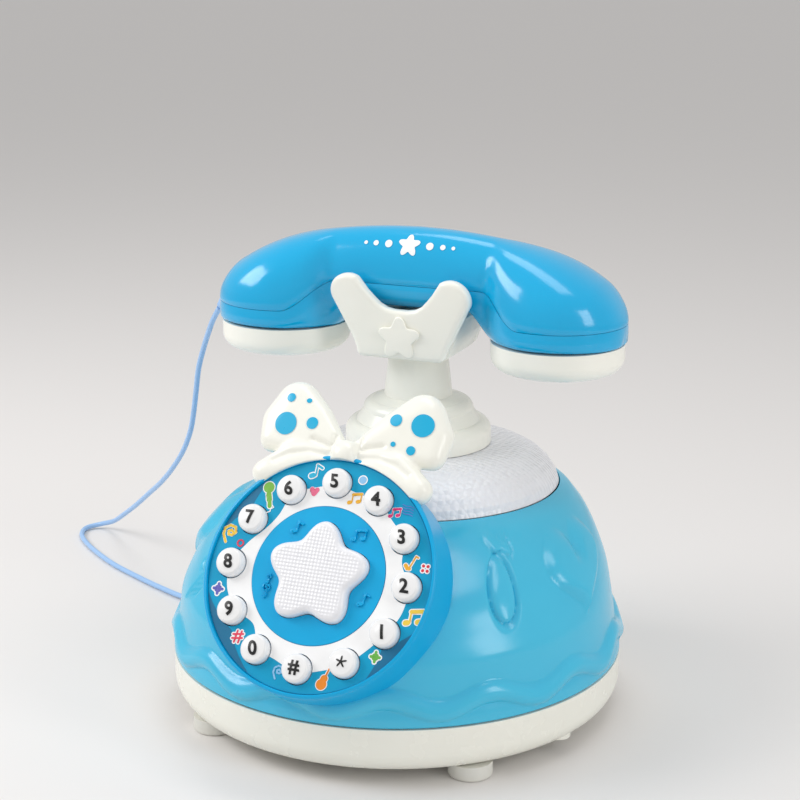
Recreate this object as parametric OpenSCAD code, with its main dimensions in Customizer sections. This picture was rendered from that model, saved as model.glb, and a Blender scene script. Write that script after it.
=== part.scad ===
// A child's telephone: a round body on four feet, a tilted ring of push buttons with a bow over it,
// a lamp dome, and a handset that lies in a forked cradle and is tied to the tray by a thin cord.
// Millimetres. Z is up, the ground is z = 0, and the front looks along -Y.

/* [Body] */
// Radius of the body where its two casings meet
body_r = 83.3; // [82.5:0.1:84]
// Height of the joint between the tray and the body shell
seam_z = 22.5; // [22:0.1:23]
// Wall of the casings
wall = 2.2; // [2:0.1:2.4]
// Number of waves in the raised trim
waves = 14; // [8:1:18]
// Height of each foot
foot_h = 5.5; // [5:0.1:6]
// Radius of each foot
foot_r = 7.8; // [6:0.1:9]

/* [Dial] */
// Radius of the dial drum
drum_r = 42; // [41.8:0.1:42.2]
// Depth of the dial drum
drum_depth = 18; // [17.5:0.5:19]
// How far the face leans back from upright, in degrees
dial_tilt = 32.5; // [31:0.5:34]
// Radius of the circle that the buttons stand on
button_ring_r = 32.3; // [32:0.1:32.6]
// Radius of one button
button_r = 5; // [4.6:0.1:5.1]
// Travel of the buttons and of the star
press = 1.5; // [1:0.1:1.6]

/* [Handset] */
// Half of the handset's length
handset_half = 80; // [78:0.5:82]
// Distance of each cap's axis from the middle
cap_x = 54; // [53:0.5:55]
// Radius of the two caps
cap_r = 24.4; // [23:0.1:25]
// Half of the grip's width
grip_half = 12.8; // [12:0.1:12.8]

/* [Cord] */
// Diameter of the cord
cord_d = 2.2; // [2:0.1:2.4]

/* [Hidden] */
$fn = 96;

// Clockwise from the top of the dial, as a person who faces it sees them.
button_names = ["button_5", "button_4", "button_3", "button_2", "button_1", "button_star",
    "button_hash", "button_0", "button_9", "button_8", "button_7", "button_6"];

body_blue = "#5fc3e6";
deep_blue = "#00aee0";
white = "#f7f7ee";
lamp_white = "#e6e6ea";
cord_blue = "#90b8e8";
board_green = "#2e7d4f";
steel = "#b8bcc2";
dark = "#33353a";

// The round body's axis stands this far behind the origin, which is the middle of the footprint.
axis_y = 4.1;
// The lamp dome, the neck, the cradle and the handset stand behind the body's axis.
stack_y = 21.5;
// Middle of the dial's face, from the body's axis.
dial_pos = [0, -70.9, 71.3];
gap = 0.3;

// Body shell: height, radius and how far the circle's centre lies behind the body's axis.
shell_rows = [[seam_z, body_r, 0], [25.5, 83.2, 0], [30, 82, 0], [39, 80.6, 0], [46, 79.5, 0], [54, 77, 3],
    [62, 73.2, 6], [68, 69, 10], [71.5, 66, 12.5], [75, 62, 15.5], [77.5, 58.3, 18.5], [79.5, 53.5, stack_y]];
shell_top = 79.5;
trim_z = 31;
trim_half = 3.8;
trim_proud = 2.4;
trim_swing = 2.2;
cushion_z = 55;
cushion_proud = 2.2;

tray_floor = foot_h + wall;
tray_corner = 8;
foot_x = 49.2;
foot_y = 54.4;
case_screw_r = 76.2;
case_screw_angles = [20, 160, 200, 340];

// Dial, on its own axes: x to the right, y up the face, z out of it.
label_t = 0.5;
label_r = 40.2;
plate_t = 2.8;
hub_r = 24;
rim_proud = 1.2;
flange_z = -5;
mat_z = -9.2;
board_t = 1.6;
dial_screw_r = 36.3;
star_r = 15.9;
star_swing = 2.5;

battery_y = 34;
cell_r = 7.1;
cell_len = 50;
cell_pitch = 15.2;
box_x = 30;
box_y = 25;
box_roof = 24.5;
speaker_y = -38;
switch_y = -66;

dome_z = shell_top;
neck_z = 112.2;
cradle_z = 129;
cap_z = 126.5;
cap_h = 10.5;
handset_bottom = 146;
handset_screw_x = 15;

// The cord's route, from the handset's end down and back to the floor, and home to the tray.
cord_route = [[-83, 22, 138], [-88, 26, 132], [-93, 31, 125], [-98, 36, 117], [-102, 39, 108],
    [-105, 42, 98], [-108, 45, 88], [-112, 49, 78], [-119, 55, 67], [-129, 64, 56],
    [-141, 75, 45], [-155, 88, 34], [-169, 100, 23], [-182, 111, 13.5], [-193, 120, 6],
    [-202, 123, 2.4], [-207, 118, 1.4], [-204, 109, 1.3], [-195, 99, 1.3], [-183, 89, 1.3],
    [-169, 79, 1.3], [-153, 70, 1.3], [-136, 61, 1.5], [-119, 53, 2], [-104, 46.5, 5],
    [-91, 41, 9.5], [-81, 36.7, 12]];
cord_steps = 3;
cord_sides = 8;
grommet_angle = 155.6;

// ---- curves and skins ----

function smooth(t) = let (u = max(0, min(1, t))) u * u * (3 - 2 * u);
function arc(c, r, a0, a1, n) = [for (i = [0:n]) c + r * [cos(a0 + (a1 - a0) * i / n), sin(a0 + (a1 - a0) * i / n)]];
function power(x, p) = sign(x) * pow(abs(x), p);

// A closed surface over rings of equal length, whose points run anticlockwise seen from the last ring.
// A ring of a hollow half shell goes round outside and back inside, so its ends are strips between the two.
function end_strip(n) = [for (j = [0:n / 2 - 2]) each [[j, j + 1, n - 2 - j], [j, n - 2 - j, n - 1 - j]]];
module skin(rings, wrap = false, strip = false) {
    n = len(rings[0]);
    count = len(rings);
    last = count - (wrap ? 1 : 2);
    sides = [for (i = [0:last], j = [0:n - 1])
        let (k = (i + 1) % count, m = (j + 1) % n)
        each [[i * n + j, k * n + j, k * n + m], [i * n + j, k * n + m, i * n + m]]];
    first = strip ? end_strip(n) : [[for (j = [0:n - 1]) j]];
    ends = wrap ? [] : concat(first, [for (face = first) [for (j = [len(face) - 1:-1:0]) (count - 1) * n + face[j]]]);
    polyhedron([for (ring = rings) each ring], concat(sides, ends), convexity = 8);
}

// Soft five-pointed outline: a circle whose radius swells five times a turn.
function star_outline(r, swing, n = 80) =
    [for (i = [0:n - 1]) let (a = 360 * i / n) (r + swing * cos(5 * a)) * [sin(-a), cos(a)]];

// Point on a Catmull-Rom curve between route points i and i + 1.
function route_point(p, i, t) = let (a = p[max(i - 1, 0)], b = p[i], c = p[i + 1], d = p[min(i + 2, len(p) - 1)])
    0.5 * (2 * b + (c - a) * t + (2 * a - 5 * b + 4 * c - d) * t * t + (3 * b - a - 3 * c + d) * t * t * t);

module at_axis() { translate([0, axis_y, 0]) children(); }
module at_stack() { translate([0, axis_y + stack_y, 0]) children(); }
module on_dial() { translate([0, axis_y, 0] + dial_pos) rotate([90 - dial_tilt, 0, 0]) children(); }
module button_places() { for (k = [0:11]) rotate(-30 * k) translate([0, button_ring_r, 0]) children(); }
module dial_screw_places() { for (k = [0:3]) rotate(15 + 90 * k) translate([0, dial_screw_r, 0]) children(); }

// Screw along +Z, with its head's underside at z = 0.
module screw(head_r, head_h, shank_r, length) {
    difference() {
        translate([0, 0, -head_h]) cylinder(r = head_r, h = head_h);
        for (a = [0, 90]) rotate(a) translate([-head_r * 0.6, -0.3, -head_h - 1]) cube([head_r * 1.2, 0.6, 1.7]);
    }
    cylinder(r = shank_r, h = length - shank_r);
    translate([0, 0, length - shank_r]) cylinder(r1 = shank_r, r2 = 0.4, h = shank_r);
}

// ---- tray ----

function tray_profile(inset) = concat([[0, foot_h + inset]],
    arc([body_r - tray_corner, foot_h + tray_corner], tray_corner - inset, -90, 0, 16));

module tray_tower(angle) {
    rotate(angle) translate([case_screw_r, 0, 0]) children();
}

module base_tray() {
    color(white) at_axis() difference() {
        union() {
            rotate_extrude() polygon(concat(tray_profile(0), [[body_r, seam_z], [body_r - wall, seam_z]],
                [for (i = [17:-1:0]) tray_profile(wall)[i]]));
            // Tongue that the body shell slips over
            difference() {
                rotate_extrude() polygon([[body_r - 4.4, 13], [body_r - 2, 13], [body_r - 2, seam_z - 0.2],
                    [body_r - 2.9, seam_z - 0.2], [body_r - 2.9, seam_z + 1.6], [body_r - 4.4, seam_z + 1.6]]);
                for (a = case_screw_angles) tray_tower(a) translate([0, 0, seam_z - 0.2]) cylinder(r = 5, h = 4);
            }
            for (a = case_screw_angles) tray_tower(a) translate([0, 0, foot_h + 0.5]) cylinder(r = 4.6, h = seam_z - foot_h - 0.7);
            // Battery box and the board's four posts
            translate([-box_x - 2, battery_y - box_y - 2, tray_floor - 0.2])
                cube([2 * box_x + 4, 2 * box_y + 4, box_roof - tray_floor + 0.2]);
            for (x = [-22, 22], y = [-14, 14]) translate([x, battery_y + y, box_roof - 0.2]) cylinder(r = 3, h = 3.7);
            // Ring that holds the loudspeaker
            translate([0, speaker_y, tray_floor - 0.2]) difference() {
                cylinder(r = 22.6, h = 5.2);
                translate([0, 0, -1]) cylinder(r = 20.6, h = 8);
            }
            // Sleeve behind the cord's hole
            rotate(grommet_angle) translate([body_r - 7, 0, 12]) rotate([0, 90, 0]) cylinder(r = 4, h = 6.5);
        }
        translate([-box_x, battery_y - box_y, foot_h - 1]) cube([2 * box_x, 2 * box_y, box_roof - 2 - foot_h + 1]);
        for (x = [-22, 22], y = [-14, 14]) translate([x, battery_y + y, box_roof - 1.6]) cylinder(r = 1.1, h = 8);
        translate([0, battery_y + box_y + 5, foot_h - 1]) cylinder(r = 1.3, h = 10);
        for (a = case_screw_angles) tray_tower(a) {
            translate([0, 0, foot_h - 1]) cylinder(r = 3, h = 11);
            translate([0, 0, foot_h - 1]) cylinder(r = 1.7, h = 30);
        }
        for (x = [-foot_x, foot_x], y = [-foot_y, foot_y]) translate([x, y, foot_h - 1]) cylinder(r = 2.5, h = 5);
        // Sound holes
        for (ring = [0:2], k = [0:max(0, 6 * ring - 1)])
            translate([0, speaker_y, foot_h - 1]) rotate(360 * k / max(1, 6 * ring)) translate([5.5 * ring, 0, 0]) cylinder(r = 1.3, h = 5);
        translate([-4, switch_y - 1.9, foot_h - 1]) cube([11, 3.8, 5]);
        rotate(grommet_angle) translate([body_r - 12, 0, 12]) rotate([0, 90, 0]) cylinder(r = 2.6, h = 20);
    }
}

module feet() {
    color(white) at_axis() for (x = [-foot_x, foot_x], y = [-foot_y, foot_y]) translate([x, y, 0])
        rotate_extrude() polygon(concat([[0, 0]], arc([foot_r - 1, 1], 1, -90, 0, 8),
            [[foot_r, foot_h], [2.4, foot_h], [2.4, foot_h + 3.4], [0, foot_h + 3.4]]));
}

// ---- body shell ----

function shell_r(z) = lookup(z, [for (row = shell_rows) [row[0], row[1]]]);
function shell_y(z) = lookup(z, [for (row = shell_rows) [row[0], row[2]]]);
// Raised wavy trim around the foot of the shell
function trim(a, z) = let (u = (z - trim_z - trim_swing * sin(waves * a)) / trim_half)
    abs(u) < 1 ? trim_proud * pow(cos(90 * u), 0.7) : 0;
// Swelling on each flank, where the ornament is
function cushion(a, z) = let (side = min(abs(a - 345), abs(a - 195)) / 24, up = abs(z - cushion_z) / 17)
    cushion_proud * smooth(1.1 - sqrt(side * side + up * up));
function shell_ring(z, inset, ornament) = let (n = 112, r = shell_r(z) - inset)
    [for (j = [0:n - 1]) let (a = 360 * j / n, s = r + (ornament ? trim(a, z) + cushion(a, z) : 0))
        [s * cos(a), shell_y(z) + s * sin(a), z]];
outer_z = [seam_z, 25, 26.5, 28, 29.5, 31, 32.5, 34, 35.5, 37, 39, 43, 47, 51, 55, 59, 63, 67, 70, 73, 75.5, 77.5];
inner_z = [76.2, 72, 66, 58, 48, 38, 30, 25, seam_z];

module body_shell() {
    color(body_blue) at_axis() difference() {
        union() {
            skin(concat([for (z = outer_z) shell_ring(z, 0, true)], [shell_ring(shell_top, 0, false)],
                [shell_ring(shell_top, wall, false)], [for (z = inner_z) shell_ring(z, 2.6, false)]), wrap = true);
            for (a = case_screw_angles) tray_tower(a) translate([0, 0, seam_z + 0.2]) cylinder(r = 4.6, h = 14);
        }
        for (a = case_screw_angles) tray_tower(a) translate([0, 0, seam_z - 1]) cylinder(r = 1.55, h = 13);
        translate(dial_pos) rotate([90 - dial_tilt, 0, 0]) translate([0, 0, -drum_depth - 2])
            cylinder(r = drum_r + gap, h = 60);
    }
}

// ---- dial ----

module dial_bezel() {
    color(deep_blue) on_dial() difference() {
        union() {
            rotate_extrude() polygon(concat([[0, -plate_t], [39.4, -plate_t], [39.4, -drum_depth], [drum_r, -drum_depth]],
                arc([drum_r - 1.2, rim_proud - 1.2], 1.2, 0, 90, 8),
                [[40.6, rim_proud - 0.2], [label_r + 0.1, -label_t], [hub_r, -label_t], [hub_r, 0.2], [0, 0.2]]));
            // Rib that the keypad mat rests against
            translate([0, 0, mat_z + 1]) difference() {
                cylinder(r = 24.5, h = -mat_z - plate_t - 0.8);
                translate([0, 0, -1]) cylinder(r = 23, h = 20);
            }
            dial_screw_places() translate([0, 0, -drum_depth + 2.3]) cylinder(r = 2.8, h = drum_depth - plate_t - 2.2);
        }
        button_places() translate([0, 0, -10]) cylinder(r = button_r + gap, h = 15);
        translate([0, 0, -10]) linear_extrude(15) polygon(star_outline(star_r + gap, star_swing));
        dial_screw_places() translate([0, 0, -drum_depth + 1]) cylinder(r = 1.05, h = 10);
    }
}

module dial_label() {
    color(deep_blue) on_dial() difference() {
        translate([0, 0, -label_t]) cylinder(r = label_r, h = label_t);
        translate([0, 0, -2]) cylinder(r = hub_r + 0.1, h = 4);
        button_places() translate([0, 0, -2]) cylinder(r = button_r + gap + 0.1, h = 4);
    }
}

module dial_back() {
    color(deep_blue) on_dial() difference() {
        translate([0, 0, -drum_depth]) cylinder(r = 39.2, h = 2.2);
        dial_screw_places() translate([0, 0, -drum_depth - 1]) cylinder(r = 1.3, h = 6);
        translate([0, -26, -drum_depth - 1]) cylinder(r = 5, h = 6);
    }
}

module dial_screws() {
    color(steel) on_dial() dial_screw_places() translate([0, 0, -drum_depth]) screw(2.2, 1.4, 1, 8);
}

module keypad_mat() {
    color("#c9ccd2") on_dial() difference() {
        union() {
            translate([0, 0, mat_z]) cylinder(r = 38.8, h = 1);
            button_places() translate([0, 0, mat_z + 0.9]) cylinder(r = 3, h = 0.6);
            for (k = [0:4]) rotate(72 * k) translate([0, 13, mat_z + 0.9]) cylinder(r = 2.4, h = 0.6);
        }
        dial_screw_places() translate([0, 0, mat_z - 1]) cylinder(r = 3.1, h = 4);
        translate([0, 0, mat_z - 1]) cylinder(r = 8, h = 4);
    }
}

module keypad_board() {
    color(board_green) on_dial() difference() {
        translate([0, 0, mat_z - board_t]) cylinder(r = 38.8, h = board_t);
        dial_screw_places() translate([0, 0, mat_z - 3]) cylinder(r = 3.1, h = 4);
    }
}

module led(r, h) {
    cylinder(r = r + 0.4, h = 1);
    cylinder(r = r, h = h - r);
    translate([0, 0, h - r]) intersection() {
        sphere(r = r);
        translate([-r, -r, 0]) cube([2 * r, 2 * r, r]);
    }
}

module star_leds() {
    color("#f2f2f2") on_dial() for (a = [0, 120, 240]) rotate(a) translate([0, 4.2, mat_z]) led(2, 5);
}

module star_button() {
    color(lamp_white) on_dial() difference() {
        union() {
            translate([0, 0, flange_z]) linear_extrude(1.2) polygon(star_outline(star_r + 1.6, star_swing));
            translate([0, 0, flange_z + 1]) linear_extrude(2.6 - flange_z - 1) polygon(star_outline(star_r, star_swing));
            translate([0, 0, 2.6]) linear_extrude(1, scale = 0.93) polygon(star_outline(star_r, star_swing));
            translate([0, 0, 3.6]) linear_extrude(0.8, scale = 0.75) scale(0.93) polygon(star_outline(star_r, star_swing));
        }
        translate([0, 0, flange_z - 1]) linear_extrude(6.6) polygon(star_outline(star_r - 2.2, star_swing));
    }
}

module dial_button(k) {
    color(white) on_dial() rotate(-30 * k) translate([0, button_ring_r, 0]) rotate_extrude()
        polygon(concat([[0, flange_z - 1], [3, flange_z - 1], [3, flange_z], [button_r + 0.7, flange_z],
            [button_r + 0.7, flange_z + 1.2], [button_r, flange_z + 1.2]],
            arc([button_r - 1.8, 1.8], 1.8, 0, 62, 8), arc([0, -6.1], 10, 76, 90, 6)));
}

// One wing and one tail of the bow, on the dial's axes
module bow_side() {
    hull() {
        translate([4, 45.5, -3]) sphere(r = 3.4, $fn = 24);
        translate([23.5, 60.2, -5.5]) scale([1, 1, 0.72]) sphere(r = 8.4, $fn = 32);
        translate([28.6, 53.6, -6]) scale([1, 1, 0.8]) sphere(r = 7.2, $fn = 32);
        translate([30, 46.5, -5]) sphere(r = 4.6, $fn = 24);
    }
    hull() {
        translate([3, 42.5, -2]) sphere(r = 3.4, $fn = 24);
        translate([20, 40.5, -2.6]) sphere(r = 5, $fn = 24);
        translate([28.5, 33.4, -2.4]) sphere(r = 4.8, $fn = 24);
    }
}

module bow() {
    color(white) on_dial() difference() {
        union() {
            bow_side();
            mirror([1, 0, 0]) bow_side();
            translate([0, 42.6, -1.8]) sphere(r = 5.6, $fn = 32);
        }
        translate([0, 0, -40]) cylinder(r = drum_r + 0.05, h = 40 + rim_proud + 0.1);
        cylinder(r = label_r + 0.1, h = 30);
    }
}

// ---- lamp, neck and cradle ----

module lamp_dome() {
    outer = [[53.2, dome_z], [52.2, 82.5], [50, 85.8], [47, 88.6], [43, 90.8], [38, 92.4], [28, 94], [21, 94.4]];
    color(lamp_white) at_stack() rotate_extrude()
        polygon(concat([[49, dome_z - 3], [50.9, dome_z - 3], [50.9, dome_z]], outer,
            [for (i = [7:-1:0]) [outer[i][0] * 0.96 - (i == 7 ? 0 : 0.2), outer[i][1] - (i == 0 ? 0 : 2)]],
            [[49, dome_z + 1]]));
}

module lamp_board() {
    color(board_green) at_stack() difference() {
        translate([0, 0, 84.4]) cylinder(r = 18, h = board_t);
        translate([0, 0, 80]) cylinder(r = 1.7, h = 10);
    }
}

module lamp_leds() {
    color("#f2f2f2") at_stack() for (k = [0:5]) rotate(60 * k) translate([14, 0, 84.4 + board_t]) led(2, 4);
}

module collar() {
    color(white) at_stack() difference() {
        rotate_extrude() polygon(concat([[0, 86], [7, 86], [7, 91], [20, 91], [20, 94.7], [27.4, 94.3]],
            arc([23.2, 98.6], 4.2, 0, 90, 12), arc([17.1, 106.9], 3.6, 0, 90, 12), [[12.8, neck_z], [0, neck_z]]));
        translate([0, 0, 80]) cylinder(r = 1.7, h = 60);
    }
}

module neck_post() {
    color(white) at_stack() difference() {
        union() {
            translate([0, 0, neck_z]) cylinder(r1 = 12.8, r2 = 11, h = cradle_z - neck_z);
            translate([-7, -7, cradle_z - 0.1]) cube([14, 14, 9.1]);
        }
        translate([0, 0, neck_z - 1]) cylinder(r = 1.25, h = 16);
        for (x = [-12, 12]) translate([x, 20, cradle_z + 5]) rotate([90, 0, 0]) cylinder(r = 1.5, h = 40);
    }
}

module stack_screw() {
    color(steel) at_stack() translate([0, 0, 84.4]) screw(3, 2, 1.2, 40);
}

// Outline of the forked cradle, seen from the front, from its foot to the tips of its horns
function cradle_half() = concat([[17.3, cradle_z], [20, 137]],
    arc([19.7, 152.8], 7.3, -15, 125, 14), [[10.5, 152.8], [8.5, 150.2], [6, 148.2], [3, 147.2]]);
function cradle_outline() = concat(cradle_half(), [for (i = [len(cradle_half()) - 1:-1:0])
    [-cradle_half()[i][0], cradle_half()[i][1]]]);

module cradle_block(depth) {
    rotate([90, 0, 0]) linear_extrude(depth) children();
}

module cradle_bed() {
    polygon([[-17.3, cradle_z], [17.3, cradle_z], [20.2, 137], [18.5, 142], [11, handset_bottom - 0.8],
        [-11, handset_bottom - 0.8], [-18.5, 142], [-20.2, 137]]);
}

module cradle_hollow() {
    translate([-7.2, axis_y + stack_y - 7.2, cradle_z - 1]) cube([14.4, 14.4, 10.4]);
}

module cradle_front() {
    color(white) difference() {
        union() {
            translate([0, axis_y + 8.2, 0]) cradle_block(4.4) polygon(cradle_outline());
            translate([0, axis_y + stack_y, 0]) cradle_block(stack_y - 8.1) cradle_bed();
            translate([0, axis_y + 4, 137.2]) rotate([90, 0, 0]) linear_extrude(0.9) polygon(star_outline(6.8, 1.5, 60));
        }
        cradle_hollow();
        for (x = [-12, 12]) translate([x, axis_y + 40, cradle_z + 5]) rotate([90, 0, 0]) cylinder(r = 1.05, h = 28);
    }
}

module cradle_rear() {
    color(white) difference() {
        union() {
            translate([0, axis_y + 39.2, 0]) cradle_block(4.4) polygon(cradle_outline());
            translate([0, axis_y + 35, 0]) cradle_block(35 - stack_y) cradle_bed();
        }
        cradle_hollow();
        for (x = [-12, 12]) translate([x, axis_y + 50, cradle_z + 5]) rotate([90, 0, 0]) {
            cylinder(r = 1.5, h = 40);
            cylinder(r = 2.6, h = 14);
        }
    }
}

module cradle_screws() {
    color(steel) for (x = [-12, 12]) translate([x, axis_y + 36, cradle_z + 5]) rotate([90, 0, 0]) screw(2.4, 1.8, 1, 20);
}

// ---- handset ----

handset_x = [-80, -79, -77, -74, -70, -65, -60, -54, -48, -43, -39, -35.5, -32, -28.5, -25, -21, -15, -8, 0];
stations = concat(handset_x, [for (i = [len(handset_x) - 2:-1:0]) -handset_x[i]]);
function end_part(x) = max(0, (abs(x) - cap_x) / (handset_half + 0.3 - cap_x));
function handset_w(x) = let (d = abs(x) - cap_x, disc = sqrt(max(0.05, 26.3 * 26.3 - d * d)))
    abs(x) > cap_x ? disc : pow(pow(grip_half, 6) + pow(abs(d) < 26.3 ? disc : 0, 6), 1 / 6);
function handset_top(x) = lookup(abs(x), [[0, 175], [12, 174.6], [22, 173.8], [33, 172.4], [43.5, 170.5],
    [50, 168.8], [57, 166.3], [62, 164], [67, 161.2], [71, 158.6], [75, 155], [78, 150.8], [80, 146.2]]);
function parting(x) = 145 + 12 * smooth((45 - abs(x)) / 15);
function handset_low(x) = let (deep = 137 + (handset_bottom - 137) * smooth((34 - abs(x)) / 11))
    parting(x) - (parting(x) - deep) * pow(1 - pow(end_part(x), 6), 1 / 6);
// Half section from one side over the top, or under the bottom when h is negative
function half_section(x, w, h, p, n = 20) =
    [for (i = [0:n]) let (a = 180 * i / n) [x, w * power(cos(a), 2 / p), parting(x) + h * pow(abs(sin(a)), 2 / p)]];
function handset_half_shell(h, p, drop) = [for (x = stations)
    let (w = handset_w(x), closed = abs(x) > 78.5, t = closed ? 0 : wall,
        outer = half_section(x, w, h(x), p),
        inner = half_section(x, closed ? 0.4 : w - t, closed ? 0.4 * sign(h(x)) : h(x) - t * sign(h(x)), p))
    drop ? concat([for (i = [20:-1:0]) outer[i]], inner) : concat(outer, [for (i = [20:-1:0]) inner[i]])];

module handset_upper() {
    color(deep_blue) at_stack() difference() {
        union() {
            skin(handset_half_shell(function (x) handset_top(x) - parting(x), 2.3, false), strip = true);
            for (x = [-handset_screw_x, handset_screw_x]) translate([x, 0, 157.2]) cylinder(r = 3.2, h = 16);
        }
        for (x = [-handset_screw_x, handset_screw_x]) translate([x, 0, 156]) cylinder(r = 1.05, h = 14);
    }
}

module handset_lower() {
    color(deep_blue) at_stack() difference() {
        union() {
            skin(handset_half_shell(function (x) handset_low(x) - parting(x), 3, true), strip = true);
            for (x = [-handset_screw_x, handset_screw_x]) translate([x, 0, handset_bottom + 0.5]) cylinder(r = 3.2, h = 10.3);
        }
        for (x = [-handset_screw_x, handset_screw_x]) translate([x, 0, 140]) {
            cylinder(r = 1.3, h = 20);
            cylinder(r = 2.5, h = 9);
        }
        for (x = [-cap_x, cap_x]) translate([x, 0, 130]) cylinder(r = 20.2, h = 12);
    }
}

module handset_cap(x) {
    color(white) at_stack() translate([x, 0, cap_z]) difference() {
        rotate_extrude() polygon(concat([[0, 0]], arc([cap_r - 5.5, 5.5], 5.5, -90, 0, 12),
            [[cap_r, cap_h], [20, cap_h], [20, cap_h + 2.5], [18.4, cap_h + 2.5], [18.4, 2], [0, 2]]));
        for (ring = [0:2], k = [0:max(0, 6 * ring - 1)])
            rotate(360 * k / max(1, 6 * ring)) translate([4.5 * ring, 0, -1]) cylinder(r = 1, h = 5);
    }
}

module earpiece_speaker() {
    color(dark) at_stack() translate([-cap_x, 0, cap_z + 2]) {
        difference() {
            cylinder(r = 15, h = 3);
            translate([0, 0, -1]) cylinder(r1 = 12, r2 = 7, h = 3);
        }
        translate([0, 0, 2.9]) cylinder(r = 8, h = 3);
    }
}

module handset_screws() {
    color(steel) at_stack() for (x = [-handset_screw_x, handset_screw_x]) translate([x, 0, 149]) screw(2.3, 1.6, 1, 18);
}

module handset_grommet() {
    color(cord_blue) at_axis() translate([-79.2, 21.6, 142]) rotate([0, -138, 0]) rotate_extrude()
        polygon([[0, 0], [2.6, 0], [2.6, 1.2], [1.7, 4.6], [0, 4.6]]);
}

// ---- cord ----

function cord_points() = concat([for (i = [0:len(cord_route) - 2], s = [0:cord_steps - 1])
    route_point(cord_route, i, s / cord_steps)], [cord_route[len(cord_route) - 1]]);
function unit(v) = v / norm(v);
function cord_ring(p, i) = let (n = len(p), dir = unit(p[min(i + 1, n - 1)] - p[max(i - 1, 0)]),
    side = unit(cross(dir, [0.6, 0.8, 0])), up = cross(side, dir))
    [for (k = [0:cord_sides - 1]) let (a = 360 * k / cord_sides) p[i] + cord_d / 2 * (cos(a) * side - sin(a) * up)];

module cord() {
    points = cord_points();
    color(cord_blue) at_axis() skin([for (i = [0:len(points) - 1]) cord_ring(points, i)]);
}

module tray_grommet() {
    color(cord_blue) at_axis() rotate(grommet_angle) translate([body_r - 6, 0, 12]) rotate([0, 90, 0])
        rotate_extrude() polygon([[0, 0], [2.5, 0], [2.5, 6], [3.6, 6], [3.2, 8], [1.7, 11.6], [0, 11.6]]);
}

// ---- inside the tray ----

module main_board() {
    color(board_green) at_axis() translate([0, battery_y, box_roof + 3.5]) difference() {
        union() {
            translate([-28, -18, 0]) cube([56, 36, board_t]);
            translate([-6, -6, board_t - 0.1]) cylinder(r = 5, h = 1.6);
            translate([8, -4, board_t - 0.1]) cube([9, 6, 1.8]);
        }
        for (x = [-22, 22], y = [-14, 14]) translate([x, y, -1]) cylinder(r = 1.4, h = 5);
    }
}

module board_screws() {
    color(steel) at_axis() for (x = [-22, 22], y = [-14, 14]) translate([x, battery_y + y, box_roof + 3.5 + board_t])
        rotate([180, 0, 0]) screw(2.2, 1.4, 1, 5.6);
}

module speaker() {
    color(dark) at_axis() translate([0, speaker_y, tray_floor]) rotate_extrude()
        polygon([[0, 4], [8, 4], [16, 0.6], [18, 0], [20.4, 0], [20.4, 2.2], [13, 5.5], [13, 12], [0, 12]]);
}

module battery_cells() {
    color("#3b3f46") at_axis() for (k = [-1:1]) translate([-cell_len / 2, battery_y + k * cell_pitch, foot_h + 2.4 + cell_r])
        rotate([0, 90, 0]) {
            cylinder(r = cell_r, h = cell_len - 1.2);
            cylinder(r = 2.7, h = cell_len);
        }
}

module battery_contacts() {
    color(steel) at_axis() for (k = [-1:1]) translate([0, battery_y + k * cell_pitch, foot_h + 9.5]) {
        translate([-29.6, -5, -5]) cube([0.5, 10, 10]);
        translate([-29.2, 0, 0]) rotate([0, 90, 0]) cylinder(r1 = 4.5, r2 = 3, h = 4);
        translate([29.1, -5, -5]) cube([0.5, 10, 10]);
        translate([25.2, 0, 0]) rotate([0, 90, 0]) cylinder(r1 = 2, r2 = 4, h = 4);
    }
}

module battery_door() {
    color(white) at_axis() difference() {
        union() {
            translate([-box_x + gap, battery_y - box_y + gap, foot_h]) cube([2 * box_x - 2 * gap, 2 * box_y - 2 * gap, 2]);
            for (x = [-18, 10]) translate([x, battery_y - box_y + 1, foot_h + 1]) cube([8, 2, 3]);
        }
        for (k = [-2:2]) translate([-10, battery_y + 14 + 1.8 * k, foot_h - 1]) cube([20, 0.8, 1.5]);
        translate([0, battery_y + box_y - 4, foot_h - 1]) cylinder(r = 1.4, h = 6);
    }
}

module door_screw() {
    color(steel) at_axis() translate([0, battery_y + box_y - 4, foot_h]) screw(2.4, 1.5, 1.1, 4.4);
}

module case_screws() {
    color(steel) at_axis() for (a = case_screw_angles) tray_tower(a) translate([0, 0, foot_h + 10]) screw(2.8, 2, 1.45, 18);
}

module switch_body() {
    color(dark) at_axis() translate([1.5, switch_y, tray_floor + 1.5]) difference() {
        translate([-8, -4, 0]) cube([16, 8, 5]);
        translate([-6.4, -2.2, -1]) cube([12.8, 4.4, 4]);
    }
}

module switch_knob() {
    color(dark) at_axis() translate([0, switch_y, 0]) {
        translate([-3, -1.6, foot_h - 1]) cube([5, 3.2, 6.4]);
    }
}

base_tray();
feet();
body_shell();
dial_bezel();
dial_label();
dial_back();
dial_screws();
keypad_mat();
keypad_board();
star_leds();
star_button();
for (k = [0:11]) dial_button(k);
bow();
lamp_dome();
lamp_board();
lamp_leds();
collar();
neck_post();
stack_screw();
cradle_front();
cradle_rear();
cradle_screws();
handset_upper();
handset_lower();
handset_cap(-cap_x);  // ear_cap
handset_cap(cap_x);  // mouth_cap
earpiece_speaker();
handset_screws();
handset_grommet();
cord();
tray_grommet();
main_board();
board_screws();
speaker();
battery_cells();
battery_contacts();
battery_door();
door_screw();
case_screws();
switch_body();
switch_knob();
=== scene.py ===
# %% [markdown]
# # A child's telephone
#
# A round plastic body with a tilted ring of push buttons, a bow, a lamp dome, and a handset that
# lies in a forked cradle and is tied to the body by a thin cord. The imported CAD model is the
# frame: it gives every size and place. The cells below dress it, one piece or finish at a time.

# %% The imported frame
import math

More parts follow.
